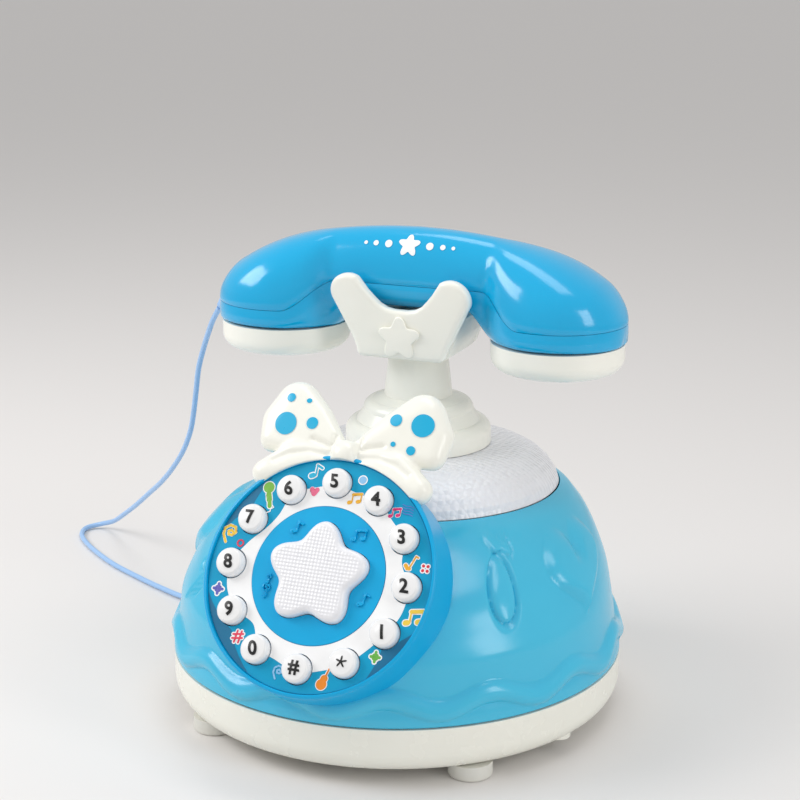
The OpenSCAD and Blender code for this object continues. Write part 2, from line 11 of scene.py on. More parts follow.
import bpy
import numpy as np
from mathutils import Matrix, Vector


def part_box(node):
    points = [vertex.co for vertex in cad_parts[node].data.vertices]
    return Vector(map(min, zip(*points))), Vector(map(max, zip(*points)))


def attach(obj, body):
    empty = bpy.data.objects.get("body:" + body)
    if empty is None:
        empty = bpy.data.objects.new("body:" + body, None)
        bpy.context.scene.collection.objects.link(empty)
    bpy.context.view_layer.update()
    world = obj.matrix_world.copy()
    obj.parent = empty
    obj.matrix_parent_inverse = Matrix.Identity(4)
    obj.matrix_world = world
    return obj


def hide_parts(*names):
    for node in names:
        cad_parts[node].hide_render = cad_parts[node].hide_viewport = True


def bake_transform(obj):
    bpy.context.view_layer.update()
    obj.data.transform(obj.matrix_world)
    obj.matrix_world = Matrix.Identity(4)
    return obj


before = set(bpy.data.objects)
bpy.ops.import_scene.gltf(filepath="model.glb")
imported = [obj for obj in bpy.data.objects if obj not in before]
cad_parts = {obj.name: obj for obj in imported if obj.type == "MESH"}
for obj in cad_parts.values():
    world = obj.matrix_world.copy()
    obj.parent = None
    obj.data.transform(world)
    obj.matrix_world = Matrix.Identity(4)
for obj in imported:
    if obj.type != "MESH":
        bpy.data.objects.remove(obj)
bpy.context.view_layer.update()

# %% [markdown]
# Blender works in metres and the makers of such a toy in millimetres. The round body has its own
# upright axis, a little behind the middle of the footprint, so points are given from that axis.
# The dial has axes of its own: x to the right, up along its face, and out of the face.

# %% Millimetres, the body's axis and the dial's axes
MM = 0.001
tray_low, tray_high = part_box("base_tray")
AXIS_Y = (tray_low.y + tray_high.y) / 2 / MM
TILT = math.radians(32.5)
DIAL_UP = np.array([0.0, math.sin(TILT), math.cos(TILT)])
DIAL_OUT = np.array([0.0, -math.cos(TILT), math.sin(TILT)])
label_low, label_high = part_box("dial_label")
LABEL_HALF = 0.25
DIAL_MIDDLE = np.array((label_low + label_high) / 2) / MM - [0, AXIS_Y, 0] + LABEL_HALF * DIAL_OUT


def at(x, y, z):
    """A point given in millimetres from the body's axis, in metres in the shared frame."""
    return Vector((x, y + AXIS_Y, z)) * MM


def on_dial(x, up, out):
    """The same for a point, or arrays of points, on the dial's axes: returns x, y, z in millimetres."""
    x, up, out = np.broadcast_arrays(np.asarray(x, float), up, out)
    spot = DIAL_MIDDLE + up[..., None] * DIAL_UP + out[..., None] * DIAL_OUT
    return x, spot[..., 1], spot[..., 2]


print("body axis at y =", round(AXIS_Y, 2), "mm; middle of the dial at", DIAL_MIDDLE.round(2))

# %% [markdown]
# The camera comes first, because it decides what the cord may do outside the view. A long lens from
# a little above and to the right looks at the phone as one sees it on a low table.

# %% Camera
bpy.ops.object.camera_add(location=at(249.0, -616.3, 294.1),
                          rotation=(math.radians(74.9), 0, math.radians(21.903)))
camera = bpy.context.active_object
camera.name = "camera"
camera.data.lens = 85
camera.data.sensor_width = 36
bpy.context.scene.camera = camera
print("camera at", tuple(round(c, 3) for c in camera.location))

# %% [markdown]
# Every operator acts on all that is selected, so a small helper selects only the pieces it is told.
# Most shapes of this toy are soft, moulded surfaces with a rule behind them. They start as a flat
# grid, whose points are then moved to their places by that rule, as clay is bent round a former.
# Where the grid meets itself its doubled points are merged, and then the faces are turned outwards.

# %% Helpers for making meshes
def select_only(*chosen):
    bpy.ops.object.select_all(action="DESELECT")
    for piece in chosen:
        piece.select_set(True)
    bpy.context.view_layer.objects.active = chosen[0]


def smooth_step(t):
    t = np.clip(t, 0, 1)
    return t * t * (3 - 2 * t)


def read_points(piece):
    flat = np.empty(len(piece.data.vertices) * 3)
    piece.data.vertices.foreach_get("co", flat)
    return flat.reshape(-1, 3)


def write_points(piece, points):
    piece.data.vertices.foreach_set("co", np.ascontiguousarray(points, float).ravel())
    piece.data.update()


def tidy_mesh(piece, merge=0.00001):
    select_only(piece)
    bpy.ops.object.mode_set(mode="EDIT")
    bpy.ops.mesh.select_all(action="SELECT")
    bpy.ops.mesh.remove_doubles(threshold=merge)
    bpy.ops.mesh.normals_make_consistent(inside=False)
    bpy.ops.object.mode_set(mode="OBJECT")


def wrapped_grid(name, columns, rows, rule, merge=0.00001):
    """A grid of columns x rows faces, bent by rule(u, v): x, y, z in millimetres from the body's axis."""
    bpy.ops.object.select_all(action="DESELECT")
    bpy.ops.mesh.primitive_grid_add(x_subdivisions=columns, y_subdivisions=rows, size=1)
    piece = bpy.context.active_object
    piece.name = piece.data.name = name
    points = read_points(piece)
    x, y, z = rule(points[:, 0] + 0.5, points[:, 1] + 0.5)
    write_points(piece, np.stack([x, y + AXIS_Y, z], 1) * MM)
    tidy_mesh(piece, merge)
    return piece


def apply_modifier(piece, kind, **settings):
    select_only(piece)
    modifier = piece.modifiers.new(kind.title(), kind)
    for key, value in settings.items():
        setattr(modifier, key, value)
    bpy.ops.object.modifier_apply(modifier=modifier.name)


def smooth_shade(piece, degrees=35):
    select_only(piece)
    bpy.ops.object.shade_smooth_by_angle(angle=math.radians(degrees))


def joined(name, *parts):
    select_only(*parts)
    if len(parts) > 1:
        bpy.ops.object.join()
    piece = bpy.context.active_object
    piece.name = piece.data.name = name
    return piece


def finish_piece(piece, body, slot, *materials, replaces=()):
    """Puts a finished piece on its body, with its finishes. The slot is not used."""
    piece.data.materials.clear()
    for material in materials:
        piece.data.materials.append(material)
    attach(piece, body)
    if replaces:
        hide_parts(*replaces)
    print(f"{piece.name}: {len(piece.data.polygons)} faces on {body}")
    return piece


print("helpers are ready")

# %% [markdown]
# A finish is built in the shader editor from a few nodes. One function adds a node with its settings
# and links, and another turns the usual hex colour codes into the linear numbers that Blender wants.
#
# Nearly all of this toy is ABS, injection moulded in polished steel. That gives the eye a clear,
# slightly wavy gloss, a very even colour with faint clouding from the flow of the pigment, and an
# orange-peel ripple about 6 mm long and a few hundredths deep.

# %% Node helpers and the family of moulded finishes
def linear(code):
    channels = [int(code[i:i + 2], 16) / 255 for i in (1, 3, 5)]
    return tuple(c / 12.92 if c <= 0.04045 else ((c + 0.055) / 1.055) ** 2.4 for c in channels) + (1.0,)


def add_node(tree, kind, settings=None, links=None):
    node = tree.nodes.new(kind)
    for key, value in (settings or {}).items():
        if isinstance(key, int) or key in node.inputs:
            node.inputs[key].default_value = value
        else:
            setattr(node, key, value)
    for key, source in (links or {}).items():
        tree.links.new(source, node.inputs[key])
    return node


def new_finish(name):
    material = bpy.data.materials.new(name)
    material.use_nodes = True
    tree = material.node_tree
    tree.nodes.clear()
    shader = add_node(tree, "ShaderNodeBsdfPrincipled")
    add_node(tree, "ShaderNodeOutputMaterial", links={"Surface": shader.outputs[0]})
    place = add_node(tree, "ShaderNodeTexCoord").outputs["Object"]
    return material, tree, shader, place


def clouded_colour(tree, place, plain, cloud, size_mm):
    """Colour that drifts between two near shades over size_mm."""
    clouds = add_node(tree, "ShaderNodeTexNoise", {"Scale": 1000 / size_mm, "Detail": 3.0}, {"Vector": place})
    mix = add_node(tree, "ShaderNodeMix", {"data_type": "RGBA"}, {"Factor": clouds.outputs[0]})
    mix.inputs[6].default_value = linear(plain)
    mix.inputs[7].default_value = linear(cloud)
    return mix.outputs[2]


def moulded(name, plain, cloud, gloss, ripple_mm=6.0, ripple=0.03, grain_mm=0.35, grain=0.02, soft=0.0,
            coat=0.0,
            level=0.5):
    """Injection-moulded plastic: clouded colour, polish that varies a little, long ripple and fine grain."""
    material, tree, shader, place = new_finish(name)
    tree.links.new(clouded_colour(tree, place, plain, cloud, 22), shader.inputs["Base Color"])
    wear = add_node(tree, "ShaderNodeTexNoise", {"Scale": 1000 / 9.0, "Detail": 4.0}, {"Vector": place})
    polish = add_node(tree, "ShaderNodeMapRange", {"To Min": gloss * 0.85, "To Max": gloss * 1.2},
                      {"Value": wear.outputs[0]})
    tree.links.new(polish.outputs[0], shader.inputs["Roughness"])
    long_ripple = add_node(tree, "ShaderNodeTexNoise", {"Scale": 1000 / ripple_mm, "Detail": 1.0},
                           {"Vector": place})
    fine_grain = add_node(tree, "ShaderNodeTexNoise", {"Scale": 1000 / grain_mm, "Detail": 2.0},
                          {"Vector": place})
    first = add_node(tree, "ShaderNodeBump", {"Strength": 0.5, "Distance": ripple * MM},
                     {"Height": long_ripple.outputs[0]})
    second = add_node(tree, "ShaderNodeBump", {"Strength": 0.35, "Distance": grain * MM},
                      {"Height": fine_grain.outputs[0], "Normal": first.outputs[0]})
    tree.links.new(second.outputs[0], shader.inputs["Normal"])
    shader.inputs["IOR"].default_value = 1.53
    shader.inputs["Subsurface Weight"].default_value = soft
    shader.inputs["Subsurface Radius"].default_value = (0.004, 0.004, 0.004)
    shader.inputs["Coat Weight"].default_value = coat
    shader.inputs["Specular IOR Level"].default_value = level
    shader.inputs["Coat Roughness"].default_value = 0.08
    return material


BODY_BLUE = moulded("ABS_sky_blue_moulded", "#3dbade", "#47c0e2", 0.2)
DEEP_BLUE = moulded("ABS_bright_blue_polished", "#00aadf", "#06b0e4", 0.16, coat=0.2)
DIAL_BLUE = moulded("ABS_dial_blue_satin", "#00a6de", "#04ace2", 0.3, level=0.3)
WHITE_ABS = moulded("ABS_warm_white_moulded", "#faf9f0", "#f6f5ea", 0.24, soft=0.12)
BUTTON_ABS = moulded("ABS_button_white", "#f4f4f4", "#ededed", 0.25, soft=0.1)
TRAY_ABS = moulded("ABS_tray_white", "#f5f4ea", "#efeee3", 0.26, soft=0.1)
FOOT_RUBBER = moulded("TPE_foot_rubber_matt", "#e6e5de", "#dddcd4", 0.6, grain_mm=0.6, grain=0.05)
CORD_PVC = moulded("PVC_cord_pale_blue", "#9cc4f0", "#a6caf4", 0.34, ripple_mm=2.0, ripple=0.02, soft=0.1)
print("finishes:", [m.name for m in bpy.data.materials if m.name[:3] in ("ABS", "TPE", "PVC")])

# %% [markdown]
# The handset's cord is a soft PVC lead 2.2 mm thick. It leaves the earpiece end of the handset, hangs
# to the floor behind the phone, turns back in a loose loop on the floor and goes into the tray. It is a
# curve through the route's points, thickened to a tube and made a mesh.

# %% Cord
CORD_DIAMETER = 2.2
CORD_ROUTE = [(-83, 22, 138), (-88, 26, 132), (-93, 31, 125), (-98, 36, 117), (-102, 39, 108),
              (-105, 42, 98), (-108, 45, 88), (-112, 49, 78), (-119, 55, 67), (-129, 64, 56),
              (-141, 75, 45), (-155, 88, 34), (-169, 100, 23), (-182, 111, 13.5), (-193, 120, 6),
              (-202, 123, 2.4), (-207, 118, 1.4), (-204, 109, 1.3), (-195, 99, 1.3), (-183, 89, 1.3),
              (-169, 79, 1.3), (-153, 70, 1.3), (-136, 61, 1.5), (-119, 53, 2), (-104, 46.5, 5),
              (-91, 41, 9.5), (-81, 36.7, 12)]
CORD_STEPS = 5


def along_route(route, steps):
    """Points on the smooth curve through the route, a few between each two of its points."""
    p = np.array([route[0], *route, route[-1]], float)
    made = []
    for a, b, c, d in zip(p, p[1:], p[2:], p[3:]):
        for t in np.arange(steps) / steps:
            made.append(0.5 * (2 * b + (c - a) * t + (2 * a - 5 * b + 4 * c - d) * t**2
                               + (3 * b - a - 3 * c + d) * t**3))
    return np.array(made + [p[-1]])


cord_points = [at(*p) for p in along_route(CORD_ROUTE, CORD_STEPS)]
bpy.ops.object.select_all(action="DESELECT")
bpy.ops.curve.primitive_nurbs_path_add()
cord = bpy.context.active_object
cord.name = "handset_cord"
cord.data.splines.clear()
line = cord.data.splines.new("POLY")
line.points.add(len(cord_points) - 1)
for spot, target in zip(line.points, cord_points):
    spot.co = (*target, 1)
cord.data.bevel_depth = CORD_DIAMETER / 2 * MM
cord.data.bevel_resolution = 4
cord.data.use_fill_caps = True
cord.matrix_world.identity()
select_only(cord)
bpy.ops.object.convert(target="MESH")
cord = bpy.context.active_object
tidy_mesh(cord)
smooth_shade(cord, 60)
cord.data.materials.clear()
cord.data.materials.append(CORD_PVC)
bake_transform(cord)
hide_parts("cord")

# %% [markdown]
# The floor is a plain pale sheet. The light is the usual one for glossy toys: one
# wide soft box high on the left, a smaller one on the right for a second row of highlights, a strip
# overhead, and a bright, even surround.

# %% Floor and lights
FLOOR_PAINT, _, floor_shader, _ = new_finish("matt_pale_floor")
floor_shader.inputs["Base Color"].default_value = linear("#e9e6e4")
floor_shader.inputs["Roughness"].default_value = 0.8
bpy.ops.object.select_all(action="DESELECT")
bpy.ops.mesh.primitive_plane_add(size=40, location=(0, 0, 0))
floor = bpy.context.active_object
floor.name = "floor"
floor.data.materials.append(FLOOR_PAINT)


def soft_box(name, place_mm, aim_mm, size_m, watts):
    bpy.ops.object.light_add(type="AREA", location=at(*place_mm))
    lamp = bpy.context.active_object
    lamp.name = name
    lamp.data.shape = "RECTANGLE"
    lamp.data.size, lamp.data.size_y = size_m
    lamp.data.energy = watts
    lamp.rotation_euler = (at(*aim_mm) - at(*place_mm)).to_track_quat("-Z", "Y").to_euler()


soft_box("key_soft_box", (-700, -330, 640), (0, 0, 80), (0.55, 0.4), 4.2)
soft_box("side_soft_box", (760, -260, 420), (0, 0, 70), (0.25, 0.5), 1.6)
soft_box("top_strip", (60, 120, 900), (0, 0, 80), (0.7, 0.25), 1.6)
surround = bpy.data.worlds.new("pale_surround")
surround.use_nodes = True
surround.node_tree.nodes["Background"].inputs["Color"].default_value = (1, 1, 1, 1)
surround.node_tree.nodes["Background"].inputs["Strength"].default_value = 0.58
bpy.context.scene.world = surround
# The standard transform keeps the plastic's colours as saturated as they are.
bpy.context.scene.view_settings.view_transform = "Standard"
print("floor, three soft boxes and a pale surround")

# %% [markdown]
# The body shell is one large moulding: a bell that leans back towards its top, with a wavy bead round
# its foot, a puffy heart on each flank and engraved music marks. All of that is a rule for the
# distance of the wall from its axis, so the shell is a grid wrapped round, with its columns set closer
# where the engraving is. The heights, radii and leans are those of the CAD's shell.

# %% Body shell: the plain bell
SHELL_ROWS = np.array([(22.7, 83.3, 0), (25.5, 83.2, 0), (30, 82, 0), (39, 80.6, 0), (46, 79.5, 0),
                       (54, 77, 3),
                       (62, 73.2, 6), (68, 69, 10), (71.5, 66, 12.5), (75, 62, 15.5), (77.5, 58.3, 18.5),
                       (79.5, 53.5, 21.5)])


def eased(x, xs, ys):
    """A smooth line through the points xs, ys, without overshoot."""
    slopes = np.gradient(ys, xs)
    i = np.clip(np.searchsorted(xs, x, side="right") - 1, 0, len(xs) - 2)
    step = xs[i + 1] - xs[i]
    t = np.clip((x - xs[i]) / step, 0, 1)
    return ((1 + 2 * t) * (1 - t)**2 * ys[i] + t * (1 - t)**2 * step * slopes[i]
            + t * t * (3 - 2 * t) * ys[i + 1] + t * t * (t - 1) * step * slopes[i + 1])


def bell_radius(z):
    return eased(z, SHELL_ROWS[:, 0], SHELL_ROWS[:, 1])


def bell_centre(z):
    return eased(z, SHELL_ROWS[:, 0], SHELL_ROWS[:, 2])


TRIM_WAVES, TRIM_Z, TRIM_SWING, TRIM_HALF, TRIM_PROUD = 14, 31, 2.2, 3.8, 2.4


def trim_swell(angle, z):
    off = (z - TRIM_Z - TRIM_SWING * np.sin(TRIM_WAVES * angle)) / TRIM_HALF
    return TRIM_PROUD * np.maximum(0, np.cos(np.clip(off, -1, 1) * math.pi / 2))**0.7


print("bell radius at three heights:", bell_radius(np.array([30.0, 54.0, 75.0])).round(1))

# %% [markdown]
# The ornaments are drawn flat, in millimetres along and up the wall. A heart is a closed outline that
# swells quickly at its edge and then levels off, as a puffy sticker does. An engraved line is a shallow
# trough: the depth falls off with the distance to the line.

# %% Body shell: hearts, note and staff
FLANK_RADIUS = 75
WALL_LEAN = 1.08    # the leaning wall is this much longer than it is high


def flank(angle, z, middle_deg, middle_z):
    """Millimetres along and up the wall from a middle on the flank."""
    turn = (np.degrees(angle) - middle_deg + 180) % 360 - 180
    return np.radians(turn) * FLANK_RADIUS, (z - middle_z) * WALL_LEAN


def line_distance(x, y, points):
    best = np.full(x.shape, 1e9)
    for (x0, y0), (x1, y1) in zip(points, points[1:]):
        length = (x1 - x0)**2 + (y1 - y0)**2
        t = np.clip(((x - x0) * (x1 - x0) + (y - y0) * (y1 - y0)) / length, 0, 1)
        best = np.minimum(best, np.hypot(x - x0 - t * (x1 - x0), y - y0 - t * (y1 - y0)))
    return best


def inside(x, y, points):
    within = np.zeros(x.shape, bool)
    for (x0, y0), (x1, y1) in zip(points, points[1:]):
        crosses = (y0 > y) != (y1 > y)
        if y1 != y0:
            within ^= crosses & (x < (x1 - x0) * (y - y0) / (y1 - y0) + x0)
    return within


turns = np.linspace(0, 2 * math.pi, 61)
HEART = np.stack([1.2 * 16 * np.sin(turns)**3, 0.98 * (13 * np.cos(turns) - 5 * np.cos(2 * turns)
                  - 2 * np.cos(3 * turns) - np.cos(4 * turns)) + 1.5], 1)


def puffy_heart(x, y, proud=3.2):
    edge = np.where(inside(x, y, HEART), line_distance(x, y, HEART), 0)
    return proud * np.sqrt(smooth_step(edge / 5.0))


def groove(x, y, points, width=0.55, depth=0.75):
    return -depth * np.exp(-(line_distance(x, y, points) / width)**2)


NOTE_FLAG = [(-7.4, 14.6), (-3.4, 14.8), (4.4, 11.6), (5.0, 13.4), (6.6, 9.2), (5.4, 7.6), (1.4, 9.6),
             (-1.2, 8.8), (-7.4, 14.6)]


def eighth_note(x, y):
    """A flag over a tall oval note, the oval a hollow with a soft pillow in it."""
    lean = x * math.cos(0.16) + y * math.sin(0.16), y * math.cos(0.16) - x * math.sin(0.16)
    reach = np.sqrt((lean[0] / 5.6)**2 + ((lean[1] + 1.5) / 10.6)**2)
    hollow = -1.7 * np.exp(-((reach - 0.94) / 0.1)**2)
    pillow = 0.6 * smooth_step((0.85 - reach) / 0.5)
    flag = 0.5 * inside(x, y, NOTE_FLAG) + groove(x, y, NOTE_FLAG, 0.5, 1.0)
    return hollow + pillow + flag


def staff_and_notes(x, y):
    depth = np.zeros(x.shape)
    for k in range(5):
        s = 2.3 * k - 4.6
        lines = [(s * 0.9 + 9 - 1.6 * t + 3.4 * math.sin(t * 0.75),
                  15 - 6.0 * t + s * 0.35) for t in np.linspace(0, 5, 11)]
        depth = np.minimum(depth, groove(x, y, lines, 0.5, 0.7))
    for note_x, note_y in ((3, 6), (-1, -4)):
        depth = np.minimum(depth, -0.9 * np.exp(-((np.hypot((x - note_x) / 1.2, y - note_y) - 2) / 0.5)**2))
    return depth


def ornament(angle, z):
    swell = puffy_heart(*flank(angle, z, -10, 62)) + puffy_heart(*flank(angle, z, 190, 62))
    return swell + eighth_note(*flank(angle, z, -40.5, 63.5)) + staff_and_notes(*flank(angle, z, 221, 62))


print("heart", np.ptp(HEART, 0).round(1), "mm wide and high")

# %% Body shell: the wrapped grid
COLUMN_TURNS = [(0, -62), (0.22, -25), (0.39, 22), (0.55, 160), (0.66, 204), (0.86, 242), (1, 298)]
ROW_HEIGHTS = [(0, 22.7), (0.05, 26.2), (0.33, 37.5), (0.5, 50), (0.93, 77), (1, 79.4)]
DRUM_CUT = 38.6
SHELL_WALL = 2.0


def shell_rule(u, v):
    angle = np.radians(np.interp(u, *zip(*COLUMN_TURNS)))
    z = np.interp(v, *zip(*ROW_HEIGHTS))
    lip = smooth_step((79.4 - z) / 5) * smooth_step((z - 22.7) / 1.5)
    radius = bell_radius(z) + (trim_swell(angle, z) + ornament(angle, z)) * lip
    radius -= 0.9 * smooth_step((23.6 - z) / 0.9)**2
    return radius * np.cos(angle), bell_centre(z) + radius * np.sin(angle), z


shell = wrapped_grid("body_shell_moulding", 372, 96, shell_rule)
bpy.ops.object.mode_set(mode="EDIT")
bpy.ops.mesh.select_all(action="DESELECT")
bpy.ops.object.mode_set(mode="OBJECT")
points = read_points(shell) / MM - [0, AXIS_Y, 0] - DIAL_MIDDLE
up, out = points @ DIAL_UP, points @ DIAL_OUT
hidden = (np.hypot(points[:, 0], up) < DRUM_CUT) & (out > -17)
for vertex, gone in zip(shell.data.vertices, hidden):
    vertex.select = bool(gone)
bpy.ops.object.mode_set(mode="EDIT")
bpy.ops.mesh.delete(type="VERT")
bpy.ops.object.mode_set(mode="OBJECT")
apply_modifier(shell, "SOLIDIFY", thickness=SHELL_WALL * MM, offset=-1)
smooth_shade(shell, 50)
finish_piece(shell, "base", "shell_blue", BODY_BLUE, replaces=["body_shell"])

# %% [markdown]
# The handset is two shells that meet in a line: level at the two ends, and a step higher along the
# grip. Each half is a stack of soft-cornered arches along its length, with a small rounding where the
# halves meet, which draws the dark parting line. Widths and heights follow the CAD's.

# %% Handset
HALF_LENGTH, CAP_X, GRIP_HALF, STACK_Y = 79.3, 54.0, 12.8, 21.5
END_RADIUS = HALF_LENGTH - CAP_X
TOP_X = np.array([0, 12, 22, 33, 43.5, 50, 57, 62, 67, 71, 74.4, 77.2, 79.3])
TOP_Z = np.array([175, 174.6, 173.8, 172.4, 170.5, 168.8, 166.3, 164, 161.2, 158.6, 155, 150.8, 145.8])


def handset_width(x):
    off = np.abs(x) - CAP_X
    disc = np.sqrt(np.maximum(0, END_RADIUS**2 - off**2))
    return np.where(off > 0, disc, (GRIP_HALF**6 + np.where(np.abs(off) < END_RADIUS, disc, 0)**6)**(1 / 6))


def parting_line(x):
    return 144.5 + 10.8 * smooth_step((46 - np.abs(x)) / 18)


def handset_top(x):
    return eased(np.abs(x), TOP_X, TOP_Z)


def handset_underside(x):
    end = np.clip((np.abs(x) - CAP_X) / (HALF_LENGTH - CAP_X), 0, 1)
    deep = 137 + 9 * smooth_step((31 - np.abs(x)) / 9)
    return parting_line(x) - (parting_line(x) - deep) * (1 - end**12)**(1 / 12)


def handset_half(name, height_of, power, side, squarer=0.0):
    """One half: 4/5 of the rows go over the arch, and the rest come back across the parting."""
    def rule(u, v):
        x = HALF_LENGTH * np.sin((u - 0.5) * math.pi) * 0.55 + HALF_LENGTH * (2 * u - 1) * 0.45
        over = np.clip(v / 0.8, 0, 1) * math.pi
        back = np.clip((v - 0.8) / 0.2, 0, 1)
        wide, high = handset_width(x), height_of(x) - parting_line(x)
        square = power + squarer * smooth_step((np.abs(x) - 28) / 9)
        rise = np.abs(np.sin(over))**(2 / square)
        round_in = 0.55 * (1 - smooth_step(np.abs(high) * rise / 0.7))
        reach = np.maximum(wide - round_in, 0)
        arch = np.sign(np.cos(over)) * reach * np.abs(np.cos(over))**(2 / square)
        y = np.where(v > 0.8, -reach * (1 - 2 * back), arch)
        z = parting_line(x) + high * rise + side * 0.08
        return x, STACK_Y + y, z

    half = wrapped_grid(name, 150, 90, rule)
    smooth_shade(half, 50)
    return half


upper = handset_half("handset_upper_moulding", handset_top, 2.3, 1)
lower = handset_half("handset_lower_moulding", handset_underside, 3.0, -1, 4.0)
finish_piece(upper, "handset", "deep_blue", DEEP_BLUE, replaces=["handset_upper"])
finish_piece(lower, "handset", "deep_blue", DEEP_BLUE, replaces=["handset_lower"])

# %% [markdown]
# The cradle is a fork: two thick, rounded plates with horns, a block between them and a soft star on
# the front. An outline starts as a circle of points that are moved to the fork's edge. It is filled,
# extruded to its thickness and bevelled, and then the horns are leaned outwards.

# %% Cradle
def arc(middle, radius, start, end, count):
    turn = np.radians(np.linspace(start, end, count))
    return [(middle[0] + radius * math.cos(a), middle[1] + radius * math.sin(a)) for a in turn]


def plate(name, outline, place, thickness, bevel, segments=4):
    """A filled outline, extruded and bevelled. place(x, z, depth) turns it to its spot."""
    bpy.ops.object.select_all(action="DESELECT")
    bpy.ops.mesh.primitive_circle_add(vertices=len(outline), radius=1, fill_type="NGON")
    made = bpy.context.active_object
    made.name = made.data.name = name
    write_points(made, [(x * MM, 0, z * MM) for x, z in outline])
    bpy.ops.object.mode_set(mode="EDIT")
    bpy.ops.mesh.select_all(action="SELECT")
    bpy.ops.mesh.extrude_region_move(TRANSFORM_OT_translate={"value": (0, thickness * MM, 0)})
    bpy.ops.object.mode_set(mode="OBJECT")
    tidy_mesh(made)
    if bevel:
        apply_modifier(made, "BEVEL", width=bevel * MM, segments=segments, limit_method="ANGLE",
                       angle_limit=math.radians(50), harden_normals=False)
    flat = read_points(made) / MM
    x, y, z = place(flat[:, 0], flat[:, 2], flat[:, 1])
    write_points(made, np.stack([x, y + AXIS_Y, z], 1) * MM)
    tidy_mesh(made)
    return made


half_fork = [(16.6, 129.2), (17.6, 133), (19.6, 137)] + arc((19.7, 152.8), 7.3, -16, 120, 16) + \
            [(12.8, 154.4), (10.4, 151.6), (8.3, 149.4), (5.6, 147.9), (2.6, 147.3)]
fork_outline = half_fork + [(-x, z) for x, z in reversed(half_fork)]


def fork_plate(name, front):
    sign = -1 if front else 1

    def place(x, z, depth):
        lean = sign * 3.4 * smooth_step((z - 141) / 20)**1.2
        low = 0.9 * smooth_step((138 - z) / 8)
        start = 8.2 if front else 34.8
        return x, start + sign * depth + lean + sign * low, z

    return plate(name, fork_outline, place, 5.6, 2.1, 5)


def star_outline(radius, swing, count=60):
    turn = np.linspace(0, 2 * math.pi, count, endpoint=False)
    reach = radius + swing * np.cos(5 * turn)
    return [(-r * math.sin(a), r * math.cos(a)) for r, a in zip(reach, turn)]


front_fork = fork_plate("fork_front", True)
rear_fork = fork_plate("fork_rear", False)
bed_outline = [(-16.6, 129.2), (16.6, 129.2), (19.8, 137), (18.2, 142), (11, 145), (-11, 145), (-18.2, 142),
               (-19.8, 137)]
bed = plate("fork_bed", bed_outline, lambda x, z, depth: (x, 7.5 + depth, z), 28, 1.2, 3)
front_star = plate("cradle_star", star_outline(6.8, 1.5), lambda x, z, depth: (x, 2.5 - depth, z + 137.2),
                   1.3, 0.6, 4)
cradle = joined("cradle_moulding", front_fork, rear_fork, bed, front_star)
smooth_shade(cradle, 40)
finish_piece(cradle, "base", "trim_white", WHITE_ABS, replaces=["cradle_front", "cradle_rear"])

# %% [markdown]
# The bow is a moulded one, puffed like fabric, and its face lies in the plane of the dial. Its wings,
# tails and knot start as balls joined by a skin stretched over them. Remeshing melts the skins into
# one body and smoothing softens them. The folds are then pressed in as grooves.

# %% Bow
def ball(x, up, out, radius, flat=1.0):
    bpy.ops.object.select_all(action="DESELECT")
    bpy.ops.mesh.primitive_uv_sphere_add(segments=32, ring_count=20, radius=1)
    made = bpy.context.active_object
    unit = read_points(made)
    spot = on_dial(x + radius * unit[:, 0], up + radius * unit[:, 1], out + radius * flat * unit[:, 2])
    write_points(made, np.stack([spot[0], spot[1] + AXIS_Y, spot[2]], 1) * MM)
    return made


def stretched(name, *balls):
    """The tight skin over some balls."""
    made = joined(name, *[ball(*b) for b in balls])
    bpy.ops.object.mode_set(mode="EDIT")
    bpy.ops.mesh.select_all(action="SELECT")
    bpy.ops.mesh.convex_hull()
    bpy.ops.object.mode_set(mode="OBJECT")
    return made


bow_parts = []
for side in (-1, 1):
    bow_parts.append(stretched("wing", (side * 4, 45.5, -3, 3.4), (side * 23.5, 60.2, -5.5, 8.4, 0.72),
                               (side * 14.5, 55, -4.5, 6, 0.8), (side * 28.6, 53.6, -6, 7.2, 0.8),
                               (side * 30, 46.5, -5, 4.6)))
    bow_parts.append(stretched("tail", (side * 3, 42.3, -2, 3.2), (side * 19, 41.2, -2.8, 5.0),
                               (side * 28.5, 33.6, -2.2, 4.9)))
bow_parts.append(ball(0, 42.8, -1.2, 5.6, 0.95))
bow = joined("bow_moulding", *bow_parts)
apply_modifier(bow, "REMESH", mode="VOXEL", voxel_size=0.62 * MM)
apply_modifier(bow, "SMOOTH", factor=0.6, iterations=9)

spot = read_points(bow) / MM - [0, AXIS_Y, 0] - DIAL_MIDDLE
bow_x, bow_up, bow_out = spot[:, 0], spot @ DIAL_UP, spot @ DIAL_OUT
fold = np.zeros(len(spot))
for line, width, depth in (([(4.9, 44.6), (8, 46.0), (13, 47.2)], 0.9, 1.0),
                           ([(5.4, 41.9), (13, 42.4), (20, 40.6), (25, 37.6)], 1.2, 1.1),
                           ([(5, 49.0), (4.9, 44), (5.4, 39)], 0.8, 1.0)):
    near = line_distance(np.abs(bow_x), bow_up, line)
    fold = np.maximum(fold, depth * np.exp(-(near / width)**2))
front = smooth_step((bow_out + 7) / 5)
bow_out = bow_out - fold * front
reach = np.hypot(bow_x, bow_up)
LABEL_EDGE = 40.5
push = np.maximum(1, LABEL_EDGE / np.maximum(reach, 1))
inside_rim = reach < LABEL_EDGE
bow_x, bow_up = np.where(inside_rim, bow_x * push, bow_x), np.where(inside_rim, bow_up * push, bow_up)
moved = on_dial(bow_x, bow_up, bow_out)
write_points(bow, np.stack([moved[0], moved[1] + AXIS_Y, moved[2]], 1) * MM)
tidy_mesh(bow)
smooth_shade(bow, 60)
finish_piece(bow, "base", "trim_white", WHITE_ABS, replaces=["bow"])

